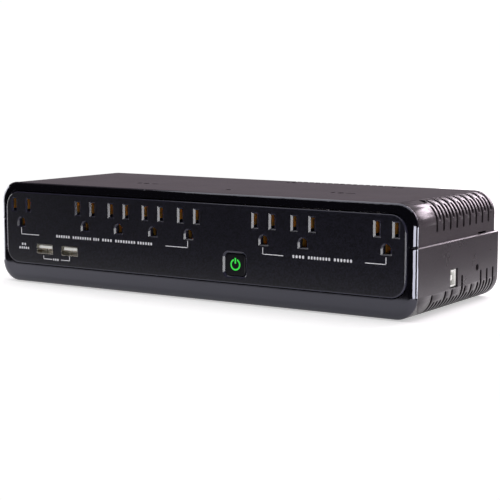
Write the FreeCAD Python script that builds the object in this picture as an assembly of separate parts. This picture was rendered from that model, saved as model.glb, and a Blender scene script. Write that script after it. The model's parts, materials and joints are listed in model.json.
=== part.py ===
import FreeCAD, Part
import math
import os

# Uninterruptible power supply, lying flat. Millimetres.
# X runs along the long side, the outlet face looks along -Y and +Z is up. The heights below are
# measured from a line FLOOR_Z under the rubber feet. The finished parts are moved by -FLOOR_Z and
# -MID_Y, so that z = 0 is the floor and y = 0 is halfway between the front and the rear.

V = FreeCAD.Vector

# ---- driving dimensions ----
WIDTH = 325.0              # over the base and the gloss bezel
FRONT_Y = -60.0            # outlet face
REAR_Y = 62.2              # rear wall of the base
COVER_REAR_Y = 59.6        # rear wall of the cover, which leaves a ledge on the base
MID_Y = 1.1                # halfway between FRONT_Y and REAR_Y
FLOOR_Z = 0.9              # the floor, on the height scale used below
FOOT_H = 0.6               # the feet stand this far below the base
BODY_TOP = 71.1
EDGE_R = 14.0              # the four long edges
SEAM_Z = 45.3              # where the cover meets the base
WALL = 2.5
COVER_INSET = 1.0          # the cover's sides stand this far inside the base
SHELL_FRONT = -56.3        # matt shells stop here and the gloss bezel begins
BEZEL_FRONT = -59.0
BEZEL_ROUND = 5.0          # width of the rounding from the bezel's front to its sides
PANEL_HALF = 156.2
PANEL_Z = (14.5, 64.6)
PANEL_R = 10.5
PANEL_GAP = 0.7            # groove between the panel and the bezel
PITCH = 28.575             # outlet grid
OUTLET_X0 = -142.6
OUTLET_SLOTS = (0, 2, 3, 4, 5, 7, 8, 10)
SLOT_Z = 55.4
GROUND_Z = 43.6
BLADE_HALF = 6.35          # line and neutral slots stand this far off the outlet's middle
USB_X = (-121.6, -99.5)
USB_Z = 25.7
BUTTON_X = 36.1
BUTTON_Z = 26.5
BUTTON_TRAVEL = 1.5
VENT_STEP = 4.77           # slots on the right side, both in the cover and in the base
VENT_W = 2.6
COVER_VENT_Y = -29.3       # first slot in the cover
LONG_VENT_Z = 51.8
SHORT_VENT_Z = 59.0
BASE_VENT_Y = -37.1        # first slot in the base
BASE_VENT_TOPS = (15.1, 10.4, 10.4, 10.4, 15.1, 10.4, 15.1, 10.4, 10.4, 22.3,
                  15.1, 10.4, 15.1, 10.4, 15.1, 22.3, 15.1, 22.3, 15.1, 22.3)
USB_B_Y = -5.9
USB_B_Z = 21.5
SIDE_SCREW = (28.6, 24.3)
DOOR_X = (-147.5, 50.5)
DOOR_FRONT = -17.5
DOOR_TOP = 42.5
BATTERY = (-146.0, 49.0, -13.5, 56.5, 4.9, 51.9)
# Screw posts: x, y, the height of the seat under the screw's head, and the post's radius.
BOSSES = ((-155.0, -30.0, 7.6, 4.4), (-155.0, 50.0, 7.6, 4.4), (56.5, 50.0, 4.2, 3.6),
          (146.0, 50.0, 4.2, 3.6), (146.0, -36.0, 4.2, 3.6), (56.5, -30.0, 4.2, 3.6))
BOARD = (109.0, 157.0, -31.0, 44.0)
BOARD_TOP = 16.2
REAR_POCKET = (62.0, 108.0, 57.0, 10.0, 38.0)
BREAKER = (72.5, 24.0)
GLAND = (97.0, 22.0)
CARRIER_SCREWS = ((-113.7, 45.0), (-42.3, 45.0), (72.1, 45.0), (115.0, 45.0))
BASE_FEET = ((132.0, -38.0), (-132.0, -38.0), (132.0, 42.0))
DOOR_FOOT = (-132.0, 42.0)

base_z = FLOOR_Z + FOOT_H
cover_ceiling = BODY_TOP - 0.1 - WALL
outlets = [OUTLET_X0 + PITCH * k for k in OUTLET_SLOTS]


# ---- shape helpers ----
def box(x0, x1, y0, y1, z0, z1):
    return Part.makeBox(x1 - x0, y1 - y0, z1 - z0, V(x0, y0, z0))


def cyl(x, y, z, radius, length, direction):
    return Part.makeCylinder(radius, length, V(x, y, z), V(*direction))


def rounded_wire(x0, x1, z0, z1, r, y0):
    """A rectangle in X and Z with rounded corners."""
    c = r * (1 - math.sqrt(0.5))
    points = [
        (V(x0 + r, y0, z0), None), (V(x1 - r, y0, z0), V(x1 - c, y0, z0 + c)),
        (V(x1, y0, z0 + r), None), (V(x1, y0, z1 - r), V(x1 - c, y0, z1 - c)),
        (V(x1 - r, y0, z1), None), (V(x0 + r, y0, z1), V(x0 + c, y0, z1 - c)),
        (V(x0, y0, z1 - r), None), (V(x0, y0, z0 + r), V(x0 + c, y0, z0 + c)),
    ]
    edges = []
    for i, (start, through) in enumerate(points):
        end = points[(i + 1) % len(points)][0]
        if through is None:
            edges.append(Part.makeLine(start, end))
        else:
            edges.append(Part.Arc(start, through, end).toShape())
    return Part.Wire(edges)


def rounded(x0, x1, z0, z1, r, y0, y1):
    """A block along Y whose outline in X and Z has rounded corners."""
    return Part.Face(rounded_wire(x0, x1, z0, z1, r, y0)).extrude(V(0, y1 - y0, 0))


def loft(sections):
    """A solid through closed outlines given as lists of points."""
    wires = [Part.makePolygon([V(*p) for p in points] + [V(*points[0])]) for points in sections]
    return Part.makeLoft(wires, True, True)


def frustum(x, z, w0, h0, w1, h1, y0, y1):
    """A tapered pocket along Y, w0 by h0 at y0 and w1 by h1 at y1."""
    ends = []
    for w, h, y in ((w0, h0, y0), (w1, h1, y1)):
        ends.append([(x - w / 2, y, z - h / 2), (x + w / 2, y, z - h / 2),
                     (x + w / 2, y, z + h / 2), (x - w / 2, y, z + h / 2)])
    return loft(ends)


def ground_outline(x, z, w, h, y):
    """Flat bottom, round top."""
    points = [(x - w / 2, y, z - h / 2), (x + w / 2, y, z - h / 2)]
    top = z + h / 2 - w / 2
    for i in range(13):
        a = math.pi * i / 12
        points.append((x + w / 2 * math.cos(a), y, top + w / 2 * math.sin(a)))
    return points


def fused(shapes):
    whole = shapes[0].multiFuse(shapes[1:]) if len(shapes) > 1 else shapes[0]
    return whole.removeSplitter()


def cut(shape, tools):
    return shape.cut(Part.makeCompound(tools)) if tools else shape


def edges_in(shape, x=None, y=None, z=None, tol=0.01):
    """The edges that lie wholly inside the given ranges."""
    found = []
    for edge in shape.Edges:
        b = edge.BoundBox
        inside = True
        for limits, low, high in ((x, b.XMin, b.XMax), (y, b.YMin, b.YMax), (z, b.ZMin, b.ZMax)):
            if limits and (low < limits[0] - tol or high > limits[1] + tol):
                inside = False
        if inside:
            found.append(edge)
    return found


def tube(points, radius):
    """A round wire along straight runs with balls at the bends."""
    pieces = []
    for a, b in zip(points, points[1:]):
        run = V(*b) - V(*a)
        pieces.append(Part.makeCylinder(radius, run.Length, V(*a), run))
    for p in points[1:-1]:
        pieces.append(Part.makeSphere(radius, V(*p)))
    return fused(pieces)


def screw(x, y, z, head_r, head_h, shank_r, length, direction):
    """Pan head with a cross recess; the head's underside is at (x, y, z) and the shank runs along
    direction."""
    d = V(*direction)
    head = Part.makeCylinder(head_r, head_h, V(x, y, z) - d * head_h, d)
    shank = Part.makeCylinder(shank_r, length, V(x, y, z), d)
    body = head.fuse(shank)
    arm = head_r * 0.6
    if abs(d.z) > 0.5:
        for a, b in ((arm, 0.35), (0.35, arm)):
            start = z - head_h * 1.01 * d.z
            low, high = sorted((start, start + head_h * 0.6 * d.z))
            body = body.cut(box(x - a, x + a, y - b, y + b, low, high))
    return body


def rubber_foot(x, y):
    foot = cyl(x, y, FLOOR_Z, 6.0, 1.35, (0, 0, 1))
    return foot.makeFillet(0.4, edges_in(foot, z=(FLOOR_Z, FLOOR_Z)))


# ---- outer case ----
def shell(half, top, rear, rear_r, keep_low, keep_high):
    """Hollow body from the shell front to the rear wall, kept between two heights."""
    outer = rounded(-half, half, base_z, top, EDGE_R, SHELL_FRONT, rear)
    outer = outer.makeFillet(rear_r, edges_in(outer, y=(rear, rear)))
    inner = rounded(-half + WALL, half - WALL, base_z + WALL, top - WALL, EDGE_R - WALL,
                    SHELL_FRONT - 1, rear - WALL)
    if rear_r > WALL:
        inner = inner.makeFillet(rear_r - WALL, edges_in(inner, y=(rear - WALL, rear - WALL)))
    hollow = outer.cut(inner)
    return hollow.common(box(-200, 200, -100, 100, keep_low, keep_high))


def side_vent(y, low, inner_x):
    """One slot up the right side and over the rounding on to the top."""
    r = VENT_W / 2
    slot = box(inner_x, 170, y - r, y + r, low + r, 80)
    return slot.fuse(cyl(inner_x, y, low + r, r, 30, (1, 0, 0)))


def base_vent(y, high, inner_x):
    r = VENT_W / 2
    slot = box(inner_x, 170, y - r, y + r, -5, high - r)
    return slot.fuse(cyl(inner_x, y, high - r, r, 30, (1, 0, 0)))


def top_slot(x0, x1, y, width):
    """A slot through the top, along X, with rounded corners."""
    slot = box(x0, x1, y - width / 2, y + width / 2, BODY_TOP - 4, BODY_TOP + 2)
    uprights = [edge for edge in slot.Edges if edge.BoundBox.ZLength > 5]
    return slot.makeFillet(min(width, x1 - x0) * 0.45, uprights)


half_width = WIDTH / 2
cover_body = rounded(COVER_INSET - half_width, half_width - COVER_INSET, base_z, BODY_TOP - 0.1,
                     EDGE_R, SHELL_FRONT, COVER_REAR_Y)
base_body = rounded(-half_width, half_width, base_z, BODY_TOP, EDGE_R, SHELL_FRONT, REAR_Y)


def boss(x, y, z0, z1, radius, bore, within):
    """A hollow post, trimmed to the outside of the body it stands in."""
    post = cyl(x, y, z0, radius, z1 - z0, (0, 0, 1)).cut(cyl(x, y, z0 - 1, bore, z1 - z0 + 2, (0, 0, 1)))
    return post.common(within)


cover = shell(half_width - COVER_INSET, BODY_TOP - 0.1, COVER_REAR_Y, 3.4, SEAM_Z, 100)
vents = []
for k in range(9):
    vents.append(side_vent(COVER_VENT_Y + 2 * VENT_STEP * k, LONG_VENT_Z, 156.4))
    vents.append(side_vent(COVER_VENT_Y + 2 * VENT_STEP * (k + 0.5), SHORT_VENT_Z, 151.5))
for k in range(15):
    x = 11.8 + 4.93 * k
    low = 53.0 if k % 2 else 59.0
    reach = 54.5 if k % 2 else 49.5
    vents.append(box(x - 1.15, x + 1.15, reach, 70, low, 80))
marks = []
for y, width, spans in ((-17.0, 5.0, ((-72.8, -69.8), (-67.9, -62.8))), (-17.0, 2.2, ((-61.0, -55.4),)),
                        (-11.5, 5.0, ((78.3, 80.6), (82.9, 87.6))), (-11.5, 2.2, ((88.8, 96.0),)),
                        (-30.5, 4.6, ((9.8, 13.4),)), (-29.5, 4.6, ((149.2, 153.8),)),
                        (45.0, 4.6, ((10.0, 12.6), (14.0, 19.0))),
                        (46.5, 4.6, ((92.0, 94.4), (96.0, 101.0)))):
    for x0, x1 in spans:
        marks.append(top_slot(x0, x1, y, width))
notch = box(155, 170, 31, 43, SEAM_Z - 1, SEAM_Z + 1.3)
cover = cut(cover, vents + marks + [notch])
cover_parts = [cover]
for x, y, seat_z, post_r in BOSSES:
    cover_parts.append(boss(x, y, 38.0, cover_ceiling + 0.2, 3.2, 1.25, cover_body))
for x in (-100.0, -40.0, 20.0, 90.0):
    cover_parts.append(box(x - 0.8, x + 0.8, -30, 54, 64.5, cover_ceiling + 0.2))
cover = fused(cover_parts)

base = shell(half_width, BODY_TOP, REAR_Y, 0.9, 0, SEAM_Z - 0.15)
ledge = []
for sign in (-1, 1):
    a, b = sign * (half_width + 1), sign * (half_width - 1)
    ledge.append(loft([[(a, y, SEAM_Z - 1.4), (a, y, SEAM_Z + 1), (b, y, SEAM_Z + 1), (b, y, SEAM_Z - 0.2)]
                       for y in (SHELL_FRONT - 1, REAR_Y + 1)]))
ledge.append(loft([[(x, REAR_Y + 1, SEAM_Z - 1.4), (x, REAR_Y + 1, SEAM_Z + 1),
                    (x, REAR_Y - 1.0, SEAM_Z + 1), (x, REAR_Y - 1.0, SEAM_Z - 0.2)] for x in (-170, 170)]))
base = cut(base, ledge)
tools = []
for k, vent_top in enumerate(BASE_VENT_TOPS):
    tools.append(base_vent(BASE_VENT_Y + VENT_STEP * k, vent_top, 150.0))
tools.append(box(155, 170, USB_B_Y - 5.6, USB_B_Y + 5.6, USB_B_Z - 5.9, USB_B_Z + 5.9))
tools.append(cyl(155, SIDE_SCREW[0], SIDE_SCREW[1], 2.2, 20, (1, 0, 0)))
tools.append(box(DOOR_X[0] - 0.3, DOOR_X[1] + 0.3, DOOR_FRONT - 0.3, 70, -5, DOOR_TOP + 0.3))
px0, px1, pocket_y, pz0, pz1 = REAR_POCKET
tools.append(box(px0, px1, pocket_y, 70, pz0, pz1))
base = cut(base, tools)
base_parts = [base, box(px0 - 1.6, px1 + 1.6, pocket_y - WALL, pocket_y, pz0 - 1.6, pz1 + 1.6)]
base_parts.append(box(-160.5, 160.5, COVER_REAR_Y - WALL, REAR_Y - 1.0, SEAM_Z - 2.3, SEAM_Z - 0.15))
for x0, x1, z0, z1 in ((px0 - 1.6, px0, pz0 - 1.6, pz1 + 1.6), (px1, px1 + 1.6, pz0 - 1.6, pz1 + 1.6),
                       (px0 - 1.6, px1 + 1.6, pz0 - 1.6, pz0), (px0 - 1.6, px1 + 1.6, pz1, pz1 + 1.6)):
    base_parts.append(box(x0, x1, pocket_y - WALL, REAR_Y - 1.0, z0, z1))
for x, y, seat_z, post_r in BOSSES:
    base_parts.append(boss(x, y, base_z + 0.6, 37.8, post_r, 1.9, base_body))
board_posts = ((114, -26), (152, -26), (114, 39), (152, 39))
for x, y in board_posts:
    base_parts.append(boss(x, y, base_z + 1, BOARD_TOP - 1.6, 2.8, 1.2, base_body))
base_parts.append(box(-156, 148, -36.5, -35, base_z + 1, 11))
base_parts.append(box(-147.5, 50.5, -20.5, -18.5, base_z + 1, 16))
base_parts.append(box(-150, -148, -20.5, 57.5, base_z + 1, 24))
base_parts.append(box(51.1, 52.6, -20.5, 57.5, base_z + 1, 24))
base = fused(base_parts)
base_cuts = [cyl(BREAKER[0], 50, BREAKER[1], 8.05, 20, (0, 1, 0)),
             cyl(GLAND[0], 50, GLAND[1], 7.05, 20, (0, 1, 0))]
for x, y, seat_z, post_r in BOSSES:
    base_cuts.append(cyl(x, y, -1, 1.9, 30, (0, 0, 1)))
    base_cuts.append(cyl(x, y, -1, 3.3, seat_z + 1, (0, 0, 1)))
groove_z = (2.25, 3.35)
for x0, x1 in ((DOOR_X[0] - 1.9, DOOR_X[0] - 0.2), (DOOR_X[1] + 0.2, DOOR_X[1] + 1.9)):
    base_cuts.append(box(x0, x1, DOOR_FRONT - 0.3, 70, groove_z[0], groove_z[1]))
base_cuts.append(box(DOOR_X[0] - 0.3, DOOR_X[1] + 0.3, DOOR_FRONT - 2.1, DOOR_FRONT,
                     groove_z[0], groove_z[1]))
for x, y in BASE_FEET:
    base_cuts.append(cyl(x, y, -1, 6.1, 3.3, (0, 0, 1)))
for x in (-30.0, 90.0):
    base_cuts.append(cyl(x, -28.0, -1, 4.2, 8, (0, 0, 1)))
    base_cuts.append(box(x - 2.1, x + 2.1, -28.0, -21.5 if x > 60 else -20.8, -1, 8))
base = cut(base, base_cuts)

# Gloss bezel: a convex ring round the outlet face, split at the seam.
profile = []
for step in range(9):
    turn = math.pi / 2 * step / 8
    depth = BEZEL_FRONT - (SHELL_FRONT - 0.05)
    profile.append((BEZEL_ROUND * (1 - math.cos(turn)), SHELL_FRONT - 0.05 + depth * math.sin(turn)))
window = rounded(-PANEL_HALF - PANEL_GAP, PANEL_HALF + PANEL_GAP, PANEL_Z[0] - PANEL_GAP,
                 PANEL_Z[1] + PANEL_GAP, PANEL_R + PANEL_GAP, -70, -40)
inner_edge = rounded(-PANEL_HALF - PANEL_GAP - 0.4, PANEL_HALF + PANEL_GAP + 0.4,
                     PANEL_Z[0] - PANEL_GAP - 0.4, PANEL_Z[1] + PANEL_GAP + 0.4,
                     PANEL_R + PANEL_GAP + 0.4, -70, BEZEL_FRONT + 0.4)


def bezel_half(lip_inset, low, high):
    """The gloss ring, kept between two heights, with the lip that plugs into the shell."""
    half = half_width
    wires = [rounded_wire(-half + inset, half - inset, base_z + inset, BODY_TOP - inset, EDGE_R - inset, y)
             for inset, y in profile]
    lip = rounded(-half + lip_inset, half - lip_inset, base_z + lip_inset, BODY_TOP - lip_inset,
                  EDGE_R - lip_inset, SHELL_FRONT - 0.2, -50.0)
    whole = Part.makeLoft(wires, True, False).fuse(lip).cut(window).cut(inner_edge)
    return whole.common(box(-200, 200, -80, 0, low, high))


bezel_upper = bezel_half(WALL + COVER_INSET + 0.7, SEAM_Z, 100)
bezel_lower = bezel_half(WALL + 0.7, -10, SEAM_Z - 0.4)

# Outlet face: a tray that stands proud of the bezel.
panel = rounded(-PANEL_HALF, PANEL_HALF, PANEL_Z[0], PANEL_Z[1], PANEL_R, FRONT_Y, -49.5)
panel = panel.makeFillet(1.1, edges_in(panel, y=(FRONT_Y, FRONT_Y)))
tray = rounded(-PANEL_HALF + 2, PANEL_HALF - 2, PANEL_Z[0] + 2, PANEL_Z[1] - 2, PANEL_R - 2,
               FRONT_Y + 2.6, -40)
panel = panel.cut(tray)
holes = []
for x in outlets:
    for side in (-BLADE_HALF, BLADE_HALF):
        holes.append(frustum(x + side, SLOT_Z, 5.0, 10.2, 2.5, 8.6, FRONT_Y - 0.01, FRONT_Y + 0.8))
        holes.append(box(x + side - 1.25, x + side + 1.25, FRONT_Y, -50, SLOT_Z - 4.3, SLOT_Z + 4.3))
        holes.append(box(x + side - 2.2, x + side + 2.2, FRONT_Y + 1.1, -50, SLOT_Z - 4.5, SLOT_Z + 4.5))
    holes.append(loft([ground_outline(x, GROUND_Z, 7.4, 7.4, FRONT_Y - 0.01),
                       ground_outline(x, GROUND_Z, 5.1, 5.8, FRONT_Y + 0.8)]))
    deep = Part.Face(Part.makePolygon([V(*p) for p in ground_outline(x, GROUND_Z, 5.1, 5.8, FRONT_Y)]
                                      + [V(*ground_outline(x, GROUND_Z, 5.1, 5.8, FRONT_Y)[0])]))
    holes.append(deep.extrude(V(0, 6, 0)))
for x in USB_X:
    holes.append(rounded(x - 7.6, x + 7.6, USB_Z - 3.6, USB_Z + 3.6, 0.6, -70, -50))
holes.append(rounded(BUTTON_X - 7.9, BUTTON_X + 7.9, BUTTON_Z - 7.4, BUTTON_Z + 7.4, 2.9, -70, -50))
window_chamfer = Part.makeLoft([
    rounded_wire(BUTTON_X - 9.15, BUTTON_X + 9.15, BUTTON_Z - 8.65, BUTTON_Z + 8.65, 4.1, FRONT_Y - 0.01),
    rounded_wire(BUTTON_X - 7.9, BUTTON_X + 7.9, BUTTON_Z - 7.4, BUTTON_Z + 7.4, 2.9, FRONT_Y + 0.9),
], True, True)
holes.append(window_chamfer)
panel = cut(panel, holes)
panel_posts = [box(-136.0, -84.0, FRONT_Y + 2.5, -49.0, USB_Z - 7.0, USB_Z - 5.22)]
for x, z in CARRIER_SCREWS:
    panel_posts.append(cyl(x, FRONT_Y + 2.5, z, 3.0, 5.4, (0, 1, 0)).cut(
        cyl(x, FRONT_Y + 2.7, z, 1.25, 10.0, (0, 1, 0))))
panel = fused([panel] + panel_posts)

# ---- outlet modules ----
def carrier(xs, x0, x1):
    """Moulded block behind the outlet face with one pocket per contact."""
    body = rounded(x0, x1, 36.0, 61.0, 6.0, FRONT_Y + 2.75, -40.0)
    pockets = []
    for x in xs:
        for side in (-BLADE_HALF, BLADE_HALF):
            pockets.append(box(x + side - 2.3, x + side + 2.3, -70, -42.2, SLOT_Z - 4.5, SLOT_Z + 4.5))
        pockets.append(box(x - 2.6, x + 2.6, -70, -55.6, GROUND_Z - 3.0, GROUND_Z + 3.0))
        pockets.append(box(x - 4.1, x + 4.1, -55.7, -42.2, GROUND_Z - 4.1, GROUND_Z + 4.1))
    pockets.append(box(x0 + 1.4, x1 - 1.4, -43.4, -30, 58.1, 60.2))
    pockets.append(box(x0 + 1.4, x1 - 1.4, -43.4, -30, 49.3, 51.5))
    pockets.append(box(x0 + 1.4, x1 - 1.4, -43.4, -30, 38.0, 40.2))
    for x, z in CARRIER_SCREWS:
        pockets.append(cyl(x, -70, z, 3.1, 18.2, (0, 1, 0)))
        pockets.append(cyl(x, -70, z, 1.35, 50, (0, 1, 0)))
    return cut(body, pockets)


def blade_contacts(xs, side, bus_z):
    """Pairs of spring leaves on one bus strip."""
    shapes = [box(xs[0] + side - 2.1, xs[-1] + side + 2.1, -43.2, -42.4, bus_z - 0.9, bus_z + 0.9)]
    for x in xs:
        c = x + side
        shapes.append(box(c - 2.0, c + 2.0, -43.2, -42.4, min(bus_z, SLOT_Z - 2.6), max(bus_z, SLOT_Z + 2.6)))
        for sign in (-1, 1):
            low, high = sorted((c + sign * 1.25, c + sign * 1.8))
            shapes.append(box(low, high, -46.0, -42.5, SLOT_Z - 2.6, SLOT_Z + 2.6))
            shapes.append(box(low, high, -58.8, -46.0, SLOT_Z - 2.6, SLOT_Z + 4.1))
    return fused(shapes)


def ground_contacts_for(xs):
    shapes = [box(xs[0] - 4, xs[-1] + 4, -43.2, -42.4, 38.3, 40.0)]
    for x in xs:
        shapes.append(box(x - 3.6, x + 3.6, -43.2, -42.4, 38.3, GROUND_Z + 3.2))
        for sign in (-1, 1):
            low, high = sorted((x + sign * 2.7, x + sign * 3.4))
            shapes.append(box(low, high, -55.4, -42.5, GROUND_Z - 3.2, GROUND_Z + 3.2))
    return fused(shapes)


left_bank = outlets[:5]
right_bank = outlets[5:]
carrier_left = carrier(left_bank, -152.8, 12.6)
carrier_right = carrier(right_bank, 46.4, 153.6)
line_contacts = Part.makeCompound([blade_contacts(b, BLADE_HALF, 59.2) for b in (left_bank, right_bank)])
neutral_contacts = Part.makeCompound([blade_contacts(b, -BLADE_HALF, 50.4) for b in (left_bank, right_bank)])
ground_contacts = Part.makeCompound([ground_contacts_for(b) for b in (left_bank, right_bank)])

# ---- USB charging sockets ----
usb_board = box(-136.0, -84.0, -56.0, -38.0, USB_Z - 5.2, USB_Z - 3.6)
usb_board = cut(usb_board, [cyl(x, -42.0, 10, 1.3, 30, (0, 0, 1)) for x in (-132.0, -88.0)])
usb_shells = []
usb_tongues = []
usb_pins = []
for x in USB_X:
    outer = rounded(x - 7.4, x + 7.4, USB_Z - 3.4, USB_Z + 3.4, 0.8, -59.8, -45.0)
    usb_shells.append(outer.cut(rounded(x - 6.9, x + 6.9, USB_Z - 2.9, USB_Z + 2.9, 0.4, -60.0, -45.4)))
    block = box(x - 6.6, x + 6.6, -49.0, -45.5, USB_Z - 2.8, USB_Z + 2.8)
    tongue = box(x - 5.9, x + 5.9, -58.8, -49.0, USB_Z + 0.3, USB_Z + 2.3)
    usb_tongues.append(block.fuse(tongue).removeSplitter())
    for i in range(4):
        c = x - 3.5 + 7.0 * i / 3
        usb_pins.append(box(c - 0.55, c + 0.55, -58.4, -49.1, USB_Z, USB_Z + 0.28))
charger = [box(-128.0, -116.0, -44.5, -39.0, USB_Z - 3.55, USB_Z + 3.0),
           box(-104.0, -96.0, -44.5, -39.5, USB_Z - 3.55, USB_Z + 0.6)]

# ---- power button ----
button = rounded(BUTTON_X - 7.5, BUTTON_X + 7.5, BUTTON_Z - 7.0, BUTTON_Z + 7.0, 2.5, -59.3, -52.5)
button = button.makeFillet(0.7, edges_in(button, y=(-59.3, -59.3)))
button_flange = rounded(BUTTON_X - 9.4, BUTTON_X + 9.4, BUTTON_Z - 9.2, BUTTON_Z + 9.2, 3.4, -57.1, -55.6)
stem = cyl(BUTTON_X, -55.0, BUTTON_Z, 2.2, 5.0, (0, 1, 0))
button = fused([button, button_flange, stem])
symbol_ring = cyl(BUTTON_X, -59.3, BUTTON_Z, 3.75, 0.6, (0, 1, 0)).cut(
    cyl(BUTTON_X, -60, BUTTON_Z, 2.75, 3, (0, 1, 0)))
symbol_ring = symbol_ring.cut(box(BUTTON_X - 1.35, BUTTON_X + 1.35, -61, -57, BUTTON_Z, BUTTON_Z + 6))
symbol_stem = box(BUTTON_X - 0.55, BUTTON_X + 0.55, -59.3, -58.7, BUTTON_Z + 0.6, BUTTON_Z + 4.3)
power_symbol = Part.makeCompound([symbol_ring, symbol_stem])
ring_seat = cyl(BUTTON_X, -60, BUTTON_Z, 3.77, 1.32, (0, 1, 0))
ring_seat = cut(ring_seat, [cyl(BUTTON_X, -61, BUTTON_Z, 2.73, 3, (0, 1, 0)),
                            box(BUTTON_X - 1.33, BUTTON_X + 1.33, -61, -57, BUTTON_Z, BUTTON_Z + 6)])
stem_seat = box(BUTTON_X - 0.57, BUTTON_X + 0.57, -61, -58.68, BUTTON_Z + 0.58, BUTTON_Z + 4.32)
button = cut(button, [ring_seat, stem_seat])
power_board = box(BUTTON_X - 14, BUTTON_X + 14, -42.6, -41.0, BUTTON_Z - 9, BUTTON_Z + 8.5)
switch_body = box(BUTTON_X - 4, BUTTON_X + 4, -47.6, -42.6, BUTTON_Z - 4, BUTTON_Z + 4)
switch_body = switch_body.cut(cyl(BUTTON_X, -60, BUTTON_Z, 1.75, 15.8, (0, 1, 0)))
switch_legs = []
for sx in (-3.0, 3.0):
    for sz in (-3.0, 3.0):
        switch_legs.append(box(BUTTON_X + sx - 0.35, BUTTON_X + sx + 0.35, -41.0, -39.6,
                               BUTTON_Z + sz - 0.35, BUTTON_Z + sz + 0.35))
plunger = cyl(BUTTON_X, -50.0, BUTTON_Z, 1.7, 4.2, (0, 1, 0))
power_led = cyl(BUTTON_X + 8.5, -46.0, BUTTON_Z, 1.5, 3.4, (0, 1, 0))
board_post = [cyl(BUTTON_X + sx, -57.4, BUTTON_Z + 6.0, 1.9, 14.8, (0, 1, 0)) for sx in (-12.0, 12.0)]
panel = fused([panel] + board_post)

# ---- battery ----
bx0, bx1, by0, by1, bz0, bz1 = BATTERY
battery_case = box(bx0, bx1, by0 + 7.0, by1, bz0, bz1)
battery_case = battery_case.makeFillet(1.5, edges_in(battery_case, y=(by1, by1)))
battery_lid = box(bx0 + 0.3, bx1 - 0.3, by0, by0 + 6.95, bz0 + 0.3, bz1 - 0.3)
lid_wells = [box(x - 9, x + 9, by0 - 1, by0 + 2.0, bz1 - 18, bz1 - 4) for x in (-128.0, 31.0)]
lid_caps = []
for i in range(6):
    lid_caps.append(cyl(-98.0 + 19.6 * i, by0 - 0.01, 28.0, 6.0, 1.2, (0, 1, 0)).cut(
        cyl(-98.0 + 19.6 * i, by0 - 1, 28.0, 5.2, 5, (0, 1, 0))))
battery_lid = cut(battery_lid, lid_wells + lid_caps)
terminals = []
for x in (-128.0, 31.0):
    foot = box(x - 4, x + 4, by0 + 1.25, by0 + 1.95, bz1 - 16, bz1 - 6)
    blade = box(x - 0.4, x + 0.4, by0 - 6.2, by0 + 1.25, bz1 - 14.2, bz1 - 7.8)
    terminals.append(foot.fuse(blade).removeSplitter())
spades = []
leads = []
for x, run in ((-128.0, ((-128.0, -24.5, 41.0), (-128.0, -24.5, 33.0), (104.0, -24.5, 33.0),
                           (104.0, -24.5, 21.5), (104.0, -21.0, 21.5), (109.9, -21.0, 21.5))),
               (31.0, ((31.0, -24.0, 41.0), (31.0, -24.0, 37.4), (100.5, -24.0, 37.4),
                       (100.5, -15.5, 37.4), (100.5, -15.5, 21.5), (109.9, -15.5, 21.5)))):
    jacket = box(x - 1.9, x + 1.9, by0 - 8.6, by0 - 1.0, bz1 - 14.9, bz1 - 7.1)
    spades.append(jacket.cut(box(x - 0.45, x + 0.45, by0 - 7.0, by0, bz1 - 14.3, bz1 - 7.7)))
    start = (x, by0 - 8.65, 41.0)
    leads.append((start,) + run)

# ---- battery door ----
dx0, dx1 = DOOR_X
door = box(dx0, dx1, DOOR_FRONT, REAR_Y - 0.05, base_z, base_z + WALL)
door_wall = box(dx0, dx1, REAR_Y - WALL, REAR_Y - 0.05, base_z, DOOR_TOP)
tongues = [box(dx0 - 1.6, dx0 + 0.5, DOOR_FRONT, REAR_Y - 3.2, 2.35, 3.25),
           box(dx1 - 0.5, dx1 + 1.6, DOOR_FRONT, REAR_Y - 3.2, 2.35, 3.25),
           box(-60, -40, DOOR_FRONT - 1.7, DOOR_FRONT + 0.5, 2.35, 3.25)]
door = fused([door, door_wall] + tongues)
grips = [box(-80 + 4 * i, -78 + 4 * i, 38, 54, FLOOR_Z, base_z + 0.7) for i in range(16)]
rear_grip = [box(-90, -5, REAR_Y - 0.9, 70, 30.0 + 3.0 * i, 31.4 + 3.0 * i) for i in range(4)]
door = cut(door, grips + rear_grip + [cyl(*DOOR_FOOT, -1, 6.1, 3.3, (0, 0, 1))])

# ---- transformer ----
tx, ty = 81.5, 12.0
core = box(tx - 24, tx + 24, ty - 14, ty + 14, 6.5, 46.5)
core = cut(core, [box(tx - 16, tx - 8, ty - 20, ty + 20, 14.5, 38.5),
                  box(tx + 8, tx + 16, ty - 20, ty + 20, 14.5, 38.5)])
bobbin = []
for y0, y1 in ((ty - 24.0, ty - 22.5), (ty + 22.5, ty + 24.0)):
    bobbin.append(box(tx - 15.7, tx + 15.7, y0, y1, 14.8, 38.2))
sleeve = box(tx - 9.6, tx + 9.6, ty - 22.6, ty + 22.6, 14.8, 38.2)
sleeve = sleeve.cut(box(tx - 8.15, tx + 8.15, ty - 30, ty + 30, 14.3, 38.7))
coils = []
for sign in (-1, 1):
    low, high = sorted((tx + sign * 9.8, tx + sign * 15.6))
    coils.append(box(low, high, ty - 22.2, ty + 22.2, 15.1, 37.9))
frame_strap = box(tx - 25.6, tx + 25.6, ty - 8, ty + 8, base_z + WALL + 0.1, 48.0)
frame_strap = frame_strap.cut(box(tx - 24.1, tx + 24.1, ty - 10, ty + 10, 0, 46.6))
strap_feet = [box(tx - 28.7, tx - 25.5, ty - 8, ty + 8, base_z + WALL + 0.1, base_z + WALL + 1.6),
              box(tx + 25.5, tx + 29.5 - 2.2, ty - 8, ty + 8, base_z + WALL + 0.1, base_z + WALL + 1.6)]
seat = box(tx - 20, tx + 20, ty - 12, ty + 12, base_z + WALL + 0.02, 6.4)
pads = [box(x - 12, x + 12, by0 + 9, by1 - 4, base_z + WALL + 0.05, bz0 - 0.05) for x in (-110.0, 12.0)]

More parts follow.
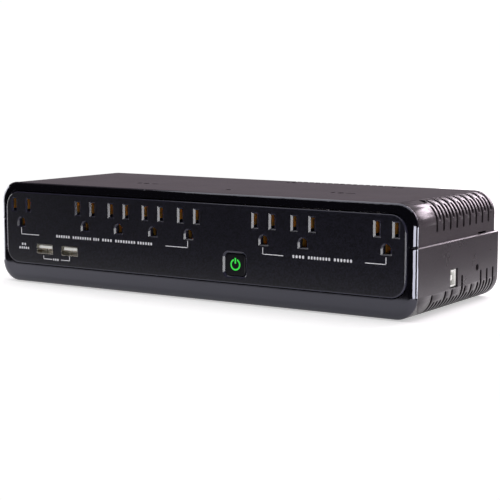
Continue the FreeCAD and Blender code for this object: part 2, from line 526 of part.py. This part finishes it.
# ---- main board ----
main_board = box(*BOARD, BOARD_TOP - 1.6, BOARD_TOP)
main_board = cut(main_board, [cyl(x, y, 0, 1.5, 40, (0, 0, 1)) for x, y in board_posts])
usb_b = box(144.5, 161.0, USB_B_Y - 5.3, USB_B_Y + 5.3, BOARD_TOP + 0.02, BOARD_TOP + 10.4)
mouth = [box(150.0, 170, USB_B_Y - 4.0, USB_B_Y + 4.0, BOARD_TOP + 1.0, BOARD_TOP + 7.1)]
mouth.append(loft([[(x, USB_B_Y - 4.0, BOARD_TOP + 7.0), (x, USB_B_Y + 4.0, BOARD_TOP + 7.0),
                    (x, USB_B_Y + 2.6, BOARD_TOP + 9.3), (x, USB_B_Y - 2.6, BOARD_TOP + 9.3)]
                   for x in (150.0, 162.0)]))
usb_b_shell = cut(usb_b, mouth)
usb_b_core = box(150.05, 159.8, USB_B_Y - 2.8, USB_B_Y + 2.8, BOARD_TOP + 3.6, BOARD_TOP + 6.8)
capacitors = []
for x, y in ((122.8, -18.0), (122.8, -4.5)):
    can = cyl(x, y, BOARD_TOP + 0.3, 5.8, 25.0, (0, 0, 1))
    capacitors.append(can.makeFillet(0.8, edges_in(can, z=(BOARD_TOP + 25.3, BOARD_TOP + 25.3))))
relays = [box(130.0, 143.5, -28.5, -16.5, BOARD_TOP + 0.1, BOARD_TOP + 16.0),
          box(130.0, 143.5, -14.5, -2.5, BOARD_TOP + 0.1, BOARD_TOP + 16.0)]
heat_sink = box(124.0, 128.0, 8.0, 36.0, BOARD_TOP + 0.1, BOARD_TOP + 34.0)
fins = [box(111.5, 124.5, 8.0 + 4.4 * i, 9.6 + 4.4 * i, BOARD_TOP + 2.0, BOARD_TOP + 34.0) for i in range(7)]
heat_sink = fused([heat_sink] + fins)
transistors = []
for y in (12.0, 22.0, 32.0):
    transistors.append(box(128.05, 132.4, y - 3.6, y + 3.6, BOARD_TOP + 7.0, BOARD_TOP + 16.0))
    transistors.append(box(128.05, 129.3, y - 3.6, y + 3.6, BOARD_TOP + 16.05, BOARD_TOP + 22.0))
fuse_body = cyl(138.0, 6.0, BOARD_TOP + 5.0, 2.5, 20.0, (0, 1, 0))
fuse_clips = []
for y in (7.5, 20.5):
    clip = box(134.6, 141.4, y, y + 4.0, BOARD_TOP + 0.1, BOARD_TOP + 7.0)
    fuse_clips.append(clip.cut(box(135.4, 140.6, y - 1, y + 6, BOARD_TOP + 1.0, 60)))
buzzer = cyl(148.0, 30.5, BOARD_TOP + 0.1, 5.0, 8.0, (0, 0, 1)).cut(
    cyl(148.0, 30.5, BOARD_TOP + 6.0, 1.0, 5.0, (0, 0, 1)))
header = box(110.0, 115.5, -23.3, -13.0, BOARD_TOP + 0.1, BOARD_TOP + 7.5)

# ---- rear wall fittings ----
cx, cz = BREAKER
breaker = fused([cyl(cx, 37.6, cz, 9.5, pocket_y - WALL - 37.7, (0, 1, 0)),
                 cyl(cx, 53.0, cz, 8.0, 5.6, (0, 1, 0))])
breaker = breaker.cut(cyl(cx, 44.0, cz, 4.05, 30, (0, 1, 0)))
nut = cyl(cx, pocket_y + 0.05, cz, 10.0, 1.7, (0, 1, 0)).cut(cyl(cx, 50, cz, 8.05, 30, (0, 1, 0)))
reset_button = cyl(cx, 44.6, cz, 4.0, 15.3, (0, 1, 0))
reset_button = reset_button.makeFillet(0.6, edges_in(reset_button, y=(59.9, 59.9)))
gx, gz = GLAND
gland = fused([cyl(gx, pocket_y + 0.05, gz, 8.6, 1.6, (0, 1, 0)),
               cyl(gx, pocket_y - 5.0, gz, 7.0, 6.0, (0, 1, 0)),
               cyl(gx, pocket_y - 5.0, gz, 8.4, 2.4, (0, 1, 0))])
gland = gland.cut(cyl(gx, 40, gz, 4.2, 30, (0, 1, 0)))

# ---- screws ----
case_screws = [screw(x, y, seat_z, 3.0, 1.9, 1.2, 34.5, (0, 0, 1)) for x, y, seat_z, post_r in BOSSES]
board_screws = [screw(x, y, BOARD_TOP + 0.05, 2.5, 1.6, 1.15, 8.0, (0, 0, -1)) for x, y in board_posts]
carrier_screws = []
for x, z in CARRIER_SCREWS:
    head = cyl(x, -39.95, z, 2.4, 1.6, (0, 1, 0))
    head = cut(head, [box(x - 1.5, x + 1.5, -38.9, -30, z - 0.35, z + 0.35),
                      box(x - 0.35, x + 0.35, -38.9, -30, z - 1.5, z + 1.5)])
    carrier_screws.append(fused([head, cyl(x, -55.9, z, 1.15, 16.0, (0, 1, 0))]))

nodes = {
    "top_cover": cover,
    "base": base,
    "bezel_upper": bezel_upper,
    "bezel_lower": bezel_lower,
    "front_panel": panel,
    "outlet_carrier_left": carrier_left,
    "outlet_carrier_right": carrier_right,
    "line_contacts": line_contacts,
    "neutral_contacts": neutral_contacts,
    "ground_contacts": ground_contacts,
    "usb_shells": Part.makeCompound(usb_shells),
    "usb_tongues": Part.makeCompound(usb_tongues),
    "usb_pins": Part.makeCompound(usb_pins),
    "usb_board": usb_board,
    "usb_charger_parts": Part.makeCompound(charger),
    "power_button": button,
    "power_symbol": power_symbol,
    "switch_plunger": plunger,
    "power_switch": switch_body,
    "switch_legs": Part.makeCompound(switch_legs),
    "power_board": power_board,
    "power_led": power_led,
    "battery_case": battery_case,
    "battery_lid": battery_lid,
    "battery_terminals": Part.makeCompound(terminals),
    "spade_jackets": Part.makeCompound(spades),
    "lead_positive": tube(leads[0], 1.6),
    "lead_negative": tube(leads[1], 1.6),
    "battery_door": door,
    "door_foot": rubber_foot(*DOOR_FOOT),
    "feet": Part.makeCompound([rubber_foot(x, y) for x, y in BASE_FEET]),
    "transformer_core": core,
    "transformer_bobbin": fused(bobbin + [sleeve]),
    "transformer_windings": fused(coils),
    "transformer_strap": fused([frame_strap] + strap_feet),
    "transformer_seat": seat,
    "main_board": main_board,
    "usb_b_shell": usb_b_shell,
    "usb_b_core": usb_b_core,
    "capacitors": Part.makeCompound(capacitors),
    "relays": Part.makeCompound(relays),
    "heat_sink": heat_sink,
    "transistors": Part.makeCompound(transistors),
    "fuse": fuse_body,
    "fuse_clips": Part.makeCompound(fuse_clips),
    "buzzer": buzzer,
    "board_header": header,
    "breaker_body": breaker,
    "breaker_nut": nut,
    "reset_button": reset_button,
    "cord_gland": gland,
    "case_screws": Part.makeCompound(case_screws),
    "board_screws": Part.makeCompound(board_screws),
    "carrier_screws": Part.makeCompound(carrier_screws),
    "battery_pads": Part.makeCompound(pads),
}

os.makedirs("parts", exist_ok=True)
for name, shape in nodes.items():
    shape.translate(V(0, -MID_Y, -FLOOR_Z))
    shape.exportStep("parts/" + name + ".step")
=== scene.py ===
import json
import math

import bmesh
import bpy
from mathutils import Matrix, Vector


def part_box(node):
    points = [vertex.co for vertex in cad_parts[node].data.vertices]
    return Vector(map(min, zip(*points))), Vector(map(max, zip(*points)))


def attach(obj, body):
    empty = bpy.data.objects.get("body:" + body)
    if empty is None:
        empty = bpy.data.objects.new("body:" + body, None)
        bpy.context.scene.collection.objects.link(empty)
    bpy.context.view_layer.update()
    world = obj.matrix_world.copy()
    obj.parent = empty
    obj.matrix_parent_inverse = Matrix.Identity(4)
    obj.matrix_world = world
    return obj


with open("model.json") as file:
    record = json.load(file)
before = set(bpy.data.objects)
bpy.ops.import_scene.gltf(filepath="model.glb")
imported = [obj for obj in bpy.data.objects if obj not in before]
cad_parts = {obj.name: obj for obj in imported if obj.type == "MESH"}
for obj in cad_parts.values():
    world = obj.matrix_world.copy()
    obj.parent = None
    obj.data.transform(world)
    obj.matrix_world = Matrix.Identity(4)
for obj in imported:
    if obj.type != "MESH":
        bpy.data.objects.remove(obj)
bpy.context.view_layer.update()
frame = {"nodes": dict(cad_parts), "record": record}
nodes = frame["nodes"]
scene = bpy.context.scene
MM = 0.001


def node_of(tree, kind, **settings):
    node = tree.nodes.new(kind)
    for key, value in settings.items():
        setattr(node, key, value)
    return node


def grey(level):
    return (level, level, level)


# ---------------------------------------------------------------- camera
CAMERA_PLACE = (0.52335, -0.79831, 0.14464)  # metres
CAMERA_YAW = 0.5731  # radians from +Y towards -X
CAMERA_PITCH = -0.1234  # radians, a little downwards
CAMERA_TILT = 0.0018  # radians about the line of sight
LENS_MM = 101.57
SENSOR_MM = 36.0
CLIP = (0.01, 50.0)


def make_camera():
    """A long lens to the right of the outlet face, a little above the top cover."""
    level = math.cos(CAMERA_PITCH)
    forward = Vector((-math.sin(CAMERA_YAW) * level, math.cos(CAMERA_YAW) * level, math.sin(CAMERA_PITCH)))
    right = Vector((math.cos(CAMERA_YAW), math.sin(CAMERA_YAW), 0.0))
    up = right.cross(forward)
    tilted_right = right * math.cos(CAMERA_TILT) + up * math.sin(CAMERA_TILT)
    tilted_up = up * math.cos(CAMERA_TILT) - right * math.sin(CAMERA_TILT)
    turn = Matrix((tilted_right, tilted_up, -forward)).transposed()
    data = bpy.data.cameras.new("camera")
    data.lens = LENS_MM
    data.sensor_width = SENSOR_MM
    data.clip_start, data.clip_end = CLIP
    obj = bpy.data.objects.new("camera", data)
    obj.matrix_world = Matrix.Translation(CAMERA_PLACE) @ turn.to_4x4()
    scene.collection.objects.link(obj)
    scene.camera = obj


# ---------------------------------------------------------------- studio
# The floor ends close to the unit in front and on the right, because two lamps stand lower than
# the floor and shine up past those edges.
FLOOR_X = (-0.26, 0.215)
FLOOR_Y = (-0.137, 0.9)
FLOOR_GREY = 0.80
FLOOR_ROUGHNESS = 0.6
FLOOR_SPECULAR = 0.2
FLOOR_GLOW = 0.5  # a lit table, which keeps the shadows under the unit light
AIR_TINT = (1.0, 0.86, 0.97)
AIR_DIM = 0.03  # brightness of the studio in front of the unit
AIR_LIT = 0.26  # brightness of the studio behind it
AIR_TURN = (-0.30, 0.05)  # over this range of a direction's Y it goes from dim to lit
BACKDROP_WHITE = 1.02
REAR_LAMP_TINT = (1.0, 0.88, 0.97)


def make_world():
    """Dim in front of the unit and brighter behind it. The camera itself sees plain white."""
    world = bpy.data.worlds.new("studio")
    scene.world = world
    world.use_nodes = True
    tree = world.node_tree
    tree.nodes.clear()
    coords = node_of(tree, "ShaderNodeTexCoord")
    split = node_of(tree, "ShaderNodeSeparateXYZ")
    tree.links.new(coords.outputs["Generated"], split.inputs[0])
    ramp = node_of(tree, "ShaderNodeMapRange", interpolation_type="SMOOTHSTEP")
    ramp.inputs["From Min"].default_value, ramp.inputs["From Max"].default_value = AIR_TURN
    ramp.inputs["To Min"].default_value = AIR_DIM
    ramp.inputs["To Max"].default_value = AIR_LIT
    tree.links.new(split.outputs["Y"], ramp.inputs["Value"])
    lit = node_of(tree, "ShaderNodeBackground")
    tree.links.new(ramp.outputs[0], lit.inputs["Strength"])
    lit.inputs["Color"].default_value = (*AIR_TINT, 1)
    seen = node_of(tree, "ShaderNodeBackground")
    seen.inputs["Color"].default_value = (1, 1, 1, 1)
    seen.inputs["Strength"].default_value = BACKDROP_WHITE
    path = node_of(tree, "ShaderNodeLightPath")
    mix = node_of(tree, "ShaderNodeMixShader")
    tree.links.new(path.outputs["Is Camera Ray"], mix.inputs["Fac"])
    tree.links.new(lit.outputs[0], mix.inputs[1])
    tree.links.new(seen.outputs[0], mix.inputs[2])
    out = node_of(tree, "ShaderNodeOutputWorld")
    tree.links.new(mix.outputs[0], out.inputs["Surface"])


def make_floor():
    mesh = bpy.data.meshes.new("floor")
    corners = [(FLOOR_X[i], FLOOR_Y[j], 0.0) for i, j in ((0, 0), (1, 0), (1, 1), (0, 1))]
    mesh.from_pydata(corners, [], [(0, 1, 2, 3)])
    obj = bpy.data.objects.new("floor", mesh)
    scene.collection.objects.link(obj)
    material = bpy.data.materials.new("floor_white")
    material.use_nodes = True
    shader = material.node_tree.nodes["Principled BSDF"]
    shader.inputs["Base Color"].default_value = (*grey(FLOOR_GREY), 1)
    shader.inputs["Roughness"].default_value = FLOOR_ROUGHNESS
    shader.inputs["Specular IOR Level"].default_value = FLOOR_SPECULAR
    shader.inputs["Emission Color"].default_value = (1, 1, 1, 1)
    shader.inputs["Emission Strength"].default_value = FLOOR_GLOW
    mesh.materials.append(material)


def softbox(name, where, target, size, radiance, color=(1, 1, 1)):
    """A rectangular lamp aimed at target. Its power follows from its size and brightness."""
    data = bpy.data.lights.new(name, "AREA")
    data.shape = "RECTANGLE"
    data.size, data.size_y = size
    data.energy = radiance * math.pi * size[0] * size[1]
    data.color = color
    obj = bpy.data.objects.new(name, data)
    obj.location = where
    aim = Vector(target) - Vector(where)
    obj.rotation_euler = aim.to_track_quat("-Z", "Y").to_euler()
    obj.visible_camera = False
    scene.collection.objects.link(obj)


def make_lights():
    """A wide lamp overhead, one low on each side, one low in front and one high behind."""
    softbox("overhead", where=(0.0, 0.35, 2.2), target=(0, 0.35, 0), size=(3.2, 3.0), radiance=1.7)
    softbox("rim_right", where=(0.95, 0.22, -0.06), target=(0.16, 0, 0), size=(0.8, 0.13), radiance=12.0)
    softbox("front_low", where=(0.62, -0.87, -0.08), target=(0.05, -0.05, 0.03), size=(0.55, 0.26),
            radiance=10.0)
    softbox("rim_left", where=(-0.75, 0, 0.04), target=(-0.16, -0.02, 0.04), size=(0.6, 0.46), radiance=5.0)
    softbox("rear", where=(0.45, 1.45, 0.66), target=(0.15, 0, 0.06), size=(1.3, 0.5), radiance=9.0,
            color=REAR_LAMP_TINT)


# ---------------------------------------------------------------- materials
USUAL_NOISE = (0.3, 0.7)  # most of a noise's values lie between these
EDGE_DOT = (0.82, 0.98)  # bevelled normal against true normal: on an edge, and on a flat face
OPEN_SKY = (0.35, 0.8)  # share of open space round a point: in a slot, and on an open face
WAVE_RADIANS = 20.0  # how far a wave texture turns in one unit at scale 1


class Finish:
    """Builds one node material round a Principled shader, in object coordinates."""

    def __init__(self, name):
        self.name = name
        self.material = bpy.data.materials.new(name)
        self.material.use_nodes = True
        self.tree = self.material.node_tree
        self.shader = self.tree.nodes["Principled BSDF"]
        self.coords = self.node("ShaderNodeTexCoord").outputs["Object"]

    def node(self, kind, **settings):
        return node_of(self.tree, kind, **settings)

    def link(self, output, socket):
        self.tree.links.new(output, socket)

    def set(self, socket, value):
        self.shader.inputs[socket].default_value = value

    def noise(self, size, detail=2.0, stretch=(1, 1, 1)):
        """Noise whose grains are about size metres across."""
        mapping = self.node("ShaderNodeMapping")
        mapping.inputs["Scale"].default_value = stretch
        self.link(self.coords, mapping.inputs["Vector"])
        noise = self.node("ShaderNodeTexNoise")
        noise.inputs["Scale"].default_value = 1.0 / size
        noise.inputs["Detail"].default_value = detail
        self.link(mapping.outputs[0], noise.inputs["Vector"])
        return noise.outputs["Fac"]

    def bands(self, pitch, direction, distortion):
        """Soft bands pitch metres apart along one axis."""
        wave = self.node("ShaderNodeTexWave", wave_type="BANDS", bands_direction=direction)
        wave.inputs["Scale"].default_value = math.tau / WAVE_RADIANS / pitch
        wave.inputs["Distortion"].default_value = distortion
        self.link(self.coords, wave.inputs["Vector"])
        return wave.outputs["Fac"]

    def spread(self, value, span, result=(0.0, 1.0)):
        """Runs from result's first number to its second as value crosses span."""
        ranged = self.node("ShaderNodeMapRange")
        for key, number in zip(("From Min", "From Max", "To Min", "To Max"), (*span, *result)):
            ranged.inputs[key].default_value = number
        self.link(value, ranged.inputs["Value"])
        return ranged.outputs[0]

    def mix(self, factor, a, b):
        """A colour between a and b, each a tuple or a socket."""
        mixer = self.node("ShaderNodeMix", data_type="RGBA")
        self.link(factor, mixer.inputs["Factor"])
        for socket, value in ((mixer.inputs[6], a), (mixer.inputs[7], b)):
            if isinstance(value, tuple):
                socket.default_value = (*value, 1)
            else:
                self.link(value, socket)
        return mixer.outputs[2]

    def edges(self, radius):
        """1 along edges and 0 on flat faces."""
        bevel = self.node("ShaderNodeBevel", samples=4)
        bevel.inputs["Radius"].default_value = radius
        normal = self.node("ShaderNodeNewGeometry").outputs["Normal"]
        dot = self.node("ShaderNodeVectorMath", operation="DOT_PRODUCT")
        self.link(bevel.outputs[0], dot.inputs[0])
        self.link(normal, dot.inputs[1])
        return self.spread(dot.outputs["Value"], EDGE_DOT, (1.0, 0.0))

    def hollows(self, distance):
        """0 deep in slots and gaps, 1 on open faces."""
        occlusion = self.node("ShaderNodeAmbientOcclusion", samples=6)
        occlusion.inputs["Distance"].default_value = distance
        return self.spread(occlusion.outputs["AO"], OPEN_SKY)

    def color(self, value):
        if isinstance(value, tuple):
            self.set("Base Color", (*value, 1))
        else:
            self.link(value, self.shader.inputs["Base Color"])

    def roughness(self, value, low, high, span=USUAL_NOISE):
        self.link(self.spread(value, span, (low, high)), self.shader.inputs["Roughness"])

    def bump(self, height, depth):
        """Relief depth metres deep."""
        node = self.node("ShaderNodeBump")
        node.inputs["Strength"].default_value = 1.0
        node.inputs["Distance"].default_value = depth
        self.link(height, node.inputs["Height"])
        self.link(node.outputs[0], self.shader.inputs["Normal"])


def scaled(color, factor):
    return tuple(min(1.0, channel * factor) for channel in color)


def moulded(name, color, rough, grain=0.45, depth=0.02, speckle=0.35, wear=2.2, specular=0.5,
            tint=(1, 1, 1), shade=False):
    """Injection-moulded plastic: sparkled grain, worn corners and faint handling marks.

    The grain's size and depth are in mm. Grains differ from color by the speckle's share, corners are
    wear times as bright, and shade darkens slots and gaps.
    """
    handling, corner, gap = 25 * MM, 0.5 * MM, 3.5 * MM
    gap_shade = 0.06
    f = Finish(name)
    f.set("Specular IOR Level", specular)
    f.set("Specular Tint", (*tint, 1))
    fine = f.noise(grain * MM)
    coarse = f.noise(handling, detail=3.0)
    grains = f.spread(fine, (0.35, 0.65))
    tone = f.mix(grains, scaled(color, 1 - speckle), scaled(color, 1 + speckle))
    worn = f.mix(f.edges(corner), tone, scaled(color, wear))
    # Painted shade: deep in slots and gaps the colour is darkened to a small share of itself, on top of the
    # worn corners.
    if shade:
        worn = f.mix(f.hollows(gap), scaled(color, gap_shade), worn)
    f.color(worn)
    f.roughness(coarse, rough - 0.02, rough + 0.02)
    f.bump(fine, depth * MM)
    return f


def outlet_face(name):
    """Fine matt grain on the flat face, and glossier chamfers round the slots whose colour is lightened as a
    painted highlight.
    """
    color = (0.0062, 0.0060, 0.0102)
    f = Finish(name)
    f.set("Specular IOR Level", 0.35)
    fine = f.noise(0.8 * MM)
    grains = f.spread(fine, (0.38, 0.62))
    tone = f.mix(grains, scaled(color, 0.5), scaled(color, 1.9))
    split = f.node("ShaderNodeSeparateXYZ")
    f.link(f.node("ShaderNodeTexCoord").outputs["Normal"], split.inputs[0])
    facing = f.node("ShaderNodeMath", operation="ABSOLUTE")
    f.link(split.outputs["Y"], facing.inputs[0])
    # Faces turned away from the outlet face, the chamfers and slot walls, get a lower roughness and a colour
    # four times as light, which is a painted highlight.
    chamfer_gloss_and_highlight = f.spread(facing.outputs[0], (0.90, 0.99), (1.0, 0.0))
    f.color(f.mix(chamfer_gloss_and_highlight, tone, scaled(color, 4)))
    f.roughness(chamfer_gloss_and_highlight, 0.33, 0.12, span=(0, 1))
    f.bump(fine, 0.02 * MM)
    return f


def glossy(name, color, rough, wear=2.0, tint=(1, 1, 1), specular=0.5):
    """Polished plastic with a faint orange peel, dust and a film of fine scratches."""
    f = Finish(name)
    f.set("Specular IOR Level", specular)
    f.set("Specular Tint", (*tint, 1))
    peel = f.noise(6 * MM, detail=1.0)
    dust = f.noise(0.35 * MM)
    film = f.noise(30 * MM, detail=3.0)
    specks = f.spread(dust, (0.72, 0.80))
    worn = f.mix(f.edges(0.35 * MM), color, scaled(color, wear))
    f.color(f.mix(specks, worn, scaled(color, 2.5)))
    f.roughness(film, rough, rough + 0.05, span=(0.35, 0.7))
    f.bump(peel, 0.004 * MM)
    return f


def metal(name, color, rough, stretch=(1, 1, 1), tarnish=0.6):
    """Plated or stamped metal: drawn streaks, dull patches and brighter rubbed edges."""
    f = Finish(name)
    f.set("Metallic", 1.0)
    streaks = f.noise(0.3 * MM, detail=3.0, stretch=stretch)
    patches = f.noise(3 * MM, detail=3.0)
    tone = f.mix(f.spread(patches, (0.35, 0.7)), color, scaled(color, tarnish))
    f.color(f.mix(f.edges(0.2 * MM), tone, scaled(color, 1.15)))
    f.roughness(streaks, rough - 0.06, rough + 0.1)
    f.bump(streaks, 0.006 * MM)
    return f


def symbol_light(name, color, strength):
    """A moulded light guide that is lit from behind."""
    f = Finish(name)
    mottle = f.noise(0.8 * MM)
    f.color(f.mix(mottle, scaled(color, 0.8), color))
    f.roughness(mottle, 0.25, 0.4)
    f.bump(mottle, 0.004 * MM)
    f.link(f.mix(mottle, scaled(color, 0.85), color), f.shader.inputs["Emission Color"])
    f.set("Emission Strength", strength)
    return f


def circuit_board(name):
    """Green solder mask over copper tracks, with a woven laminate under it."""
    f = Finish(name)
    tracks = f.node("ShaderNodeTexVoronoi", distance="MANHATTAN", feature="DISTANCE_TO_EDGE")
    tracks.inputs["Scale"].default_value = 1 / (5 * MM)
    f.link(f.coords, tracks.inputs["Vector"])
    lines = f.spread(tracks.outputs["Distance"], (0.04, 0.07), (1.0, 0.0))
    weave = f.noise(0.5 * MM)
    mask = f.mix(weave, (0.012, 0.10, 0.035), (0.02, 0.14, 0.05))
    f.color(f.mix(lines, mask, (0.03, 0.22, 0.08)))
    f.roughness(weave, 0.25, 0.4)
    f.bump(lines, 0.03 * MM)
    return f


def laminated(name):
    """Thin varnished steel sheets stacked along Y, with rusty stains."""
    f = Finish(name)
    f.set("Metallic", 0.7)
    sheets = f.bands(0.986 * MM, "Y", distortion=0.4)
    stain = f.noise(4 * MM, detail=3.0)
    tone = f.mix(f.spread(stain, (0.4, 0.65)), (0.10, 0.10, 0.11), (0.16, 0.09, 0.05))
    f.color(f.mix(sheets, tone, (0.22, 0.21, 0.21)))
    f.roughness(stain, 0.4, 0.6)
    f.bump(sheets, 0.08 * MM)
    return f


def wound(name):
    """Enamelled copper wire laid side by side."""
    f = Finish(name)
    f.set("Metallic", 1.0)
    turns = f.bands(1.776 * MM, "Z", distortion=0.6)
    f.color(f.mix(turns, (0.20, 0.05, 0.02), (0.70, 0.26, 0.11)))
    f.roughness(f.noise(2 * MM), 0.25, 0.4)
    f.bump(turns, 0.25 * MM)
    return f


def glass(name):
    """A clear tube with a little haze."""
    f = Finish(name)
    haze = f.noise(2 * MM)
    f.color((0.85, 0.88, 0.86))
    f.set("Transmission Weight", 0.9)
    f.roughness(haze, 0.03, 0.12, span=(0.4, 0.7))
    f.bump(haze, 0.005 * MM)
    return f


def make_finishes():
    """One material for each slot of the record, and one for the printed marks."""
    finishes = (
        moulded("case_top", (0.024, 0.0195, 0.0225), 0.30, grain=0.8, speckle=0.7, depth=0.045,
                specular=0.4, tint=(1.0, 0.90, 0.98), shade=True),
        moulded("case_base", (0.018, 0.015, 0.0175), 0.28, grain=0.8, speckle=0.7, depth=0.045,
                specular=0.4, tint=(1.0, 0.92, 1.0), shade=True),
        glossy("gloss_black", (0.0012, 0.0012, 0.0022), 0.05, tint=(0.84, 0.84, 1.0), specular=0.85),
        outlet_face("panel_black"),
        moulded("inner_plastic", (0.008, 0.008, 0.009), 0.5, wear=1.6),
        metal("brass", (1.0, 0.58, 0.13), 0.5, stretch=(1, 1, 6), tarnish=0.8),
        metal("nickel", (0.80, 0.78, 0.72), 0.22, stretch=(1, 6, 1)),
        metal("gold", (0.75, 0.42, 0.16), 0.3),
        circuit_board("circuit_board"),
        moulded("component_black", (0.014, 0.014, 0.015), 0.4),
        moulded("button_black", (0.004, 0.004, 0.006), 0.4, grain=0.3, depth=0.006, specular=0.2),
        symbol_light("symbol_green", (0.03, 0.56, 0.05), 0.7),
        symbol_light("lamp_green", (0.25, 0.9, 0.3), 2.0),
        moulded("battery_plastic", (0.02, 0.02, 0.022), 0.42, grain=0.8, depth=0.04),
        glossy("jacket_red", (0.42, 0.02, 0.015), 0.3),
        moulded("wire_red", (0.45, 0.02, 0.015), 0.4, grain=1.0, depth=0.01),
        moulded("wire_black", grey(0.012), 0.4, grain=1.0, depth=0.01),
        moulded("rubber", grey(0.016), 0.7, grain=0.8, depth=0.04),
        laminated("lamination"),
        moulded("bobbin_plastic", (0.62, 0.57, 0.44), 0.45, grain=1.2, speckle=0.08, wear=1.2),
        wound("copper"),
        metal("zinc_steel", (0.62, 0.62, 0.60), 0.34),
        glossy("usb_b_white", (0.80, 0.80, 0.77), 0.3, wear=1.1),
        glossy("capacitor_sleeve", (0.015, 0.025, 0.08), 0.25),
        glossy("relay_blue", (0.02, 0.09, 0.38), 0.3),
        metal("sink_aluminium", (0.55, 0.56, 0.58), 0.38, stretch=(1, 1, 0.1)),
        glass("fuse_glass"),
        moulded("reset_black", (0.014, 0.014, 0.015), 0.35),
        moulded("foam", (0.03, 0.03, 0.032), 0.9, grain=1.5, depth=0.3, speckle=0.5),
        moulded("print", (0.70, 0.70, 0.74), 0.5, grain=0.25, depth=0.003, speckle=0.12, wear=1.0),
    )
    return {finish.name: finish.material for finish in finishes}


# ---------------------------------------------------------------- CAD nodes
# How wide each node's edges are eased, in mm. The other nodes keep sharp edges.
EDGE_WIDTHS = {
    "top_cover": 0.35, "base": 0.35, "bezel_upper": 0.3, "bezel_lower": 0.3, "front_panel": 0.25,
    "power_button": 0.35, "power_symbol": 0.08, "battery_door": 0.35, "usb_shells": 0.15,
    "usb_tongues": 0.2, "usb_b_shell": 0.3, "usb_b_core": 0.15, "reset_button": 0.3,
    "breaker_nut": 0.3, "cord_gland": 0.4, "feet": 0.35, "door_foot": 0.35, "battery_case": 0.8,
    "battery_lid": 0.6,
}
EASED_FROM = math.radians(35)  # a gentler angle between two faces isn't an edge
WELD_DISTANCE = 2e-6


def dress_nodes(materials):
    """The record says which finish each node has. Edges are eased with modifiers."""
    slots = {row["node"]: row["material_slot"] for row in frame["record"]["subparts"]}
    for name, obj in nodes.items():
        obj.data.materials.clear()
        obj.data.materials.append(materials[slots[name]])
        if name not in EDGE_WIDTHS:
            continue
        weld = obj.modifiers.new("weld", "WELD")
        weld.merge_threshold = WELD_DISTANCE
        bevel = obj.modifiers.new("eased_edges", "BEVEL")
        bevel.width = EDGE_WIDTHS[name] * MM
        bevel.segments = 2
        bevel.limit_method = "ANGLE"
        bevel.angle_limit = EASED_FROM
        bevel.harden_normals = True
        bevel.use_clamp_overlap = True


# ---------------------------------------------------------------- printed marks
# All sizes here are in mm, with heights measured from the floor.
LINE_WIDTH = 0.5
PRINT_RELIEF = 0.02
BAR_PITCH = 2.1
BAR_SHARE = 0.62  # of its pitch that a bar fills
ROUNDING = 0.98  # of half a bar's width
# Each bracket: the x and top of its upright, the height of its corner, and the x where it ends.
BRACKETS = (
    (-142.5, 38.8, 34.2, -126.7),
    (-0.3, 38.4, 34.0, -17.8),
    (57.0, 38.1, 33.9, 71.8),
    (143.1, 38.0, 33.7, 129.4),
    (-122.5, 20.3, 18.1, -115.2),
    (-99.3, 21.4, 18.2, -106.6),
)
# Each row of bars: its bottom, its top, and the two ends of each group, where a word would stand.
BAR_ROWS = (
    (33.5, 35.5, ((-110.9, -98.2), (-96.3, -79.5), (-78.3, -72.6), (-70.7, -61.6), (-59.6, -42.0),
                  (-40.9, -28.1))),
    (33.0, 35.0, ((78.6, 87.9), (89.7, 106.1), (107.9, 121.2))),
    (26.3, 28.1, ((-142.4, -137.7),)),
    (23.7, 25.5, ((-144.7, -135.1),)),
    (17.3, 18.9, ((-114.1, -108.5),)),
)


def square_outline(x0, x1, z0, z1):
    return [(x1, z1), (x0, z1), (x0, z0), (x1, z0)]


def rounded_outline(x0, x1, z0, z1):
    """A rectangle whose short ends are round, with four points on each corner."""
    radius = min(x1 - x0, z1 - z0) / 2 * ROUNDING
    centres = square_outline(x0 + radius, x1 - radius, z0 + radius, z1 - radius)
    outline = []
    for corner, (x, z) in enumerate(centres):
        for step in range(4):
            angle = math.radians(90 * corner + 30 * step)
            outline.append((x + radius * math.cos(angle), z + radius * math.sin(angle)))
    return outline


def raise_mark(bm, outline, y):
    """Prints one outline on the outlet face as a thin slab that faces -Y."""
    front = [bm.verts.new((x * MM, y - PRINT_RELIEF * MM, z * MM)) for x, z in outline]
    back = [bm.verts.new((x * MM, y + PRINT_RELIEF * MM, z * MM)) for x, z in outline]
    bm.faces.new(front)
    bm.faces.new(list(reversed(back)))
    for i in range(len(outline)):
        j = (i + 1) % len(outline)
        bm.faces.new((front[j], front[i], back[i], back[j]))


def add_print(name, outlines, material):
    face_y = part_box("front_panel")[0][1]
    bm = bmesh.new()
    for outline in outlines:
        raise_mark(bm, outline, face_y)
    bmesh.ops.recalc_face_normals(bm, faces=bm.faces)
    mesh = bpy.data.meshes.new(name)
    bm.to_mesh(mesh)
    bm.free()
    mesh.materials.append(material)
    obj = bpy.data.objects.new(name, mesh)
    scene.collection.objects.link(obj)
    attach(obj, "case")


def bracket_outlines():
    """Lines that tie a label to its outlets: an upright and a foot each."""
    half = LINE_WIDTH / 2
    outlines = []
    for x, top, corner, end in BRACKETS:
        outlines.append(square_outline(x - half, x + half, corner - half, top))
        outlines.append(square_outline(min(x, end) - half, max(x, end) + half, corner - half, corner + half))
    return outlines


def bar_outlines():
    """Rows of plain bars where the labels would stand."""
    outlines = []
    for bottom, top, groups in BAR_ROWS:
        for start, end in groups:
            count = max(2, round((end - start) / BAR_PITCH))
            pitch = (end - start) / count
            for i in range(count):
                left = start + i * pitch
                outlines.append(rounded_outline(left, left + pitch * BAR_SHARE, bottom, top))
    return outlines


make_camera()
make_world()
make_floor()
make_lights()
scene.view_settings.view_transform = "Standard"
materials = make_finishes()
dress_nodes(materials)
add_print("print_brackets", bracket_outlines(), materials["print"])
add_print("print_bars", bar_outlines(), materials["print"])
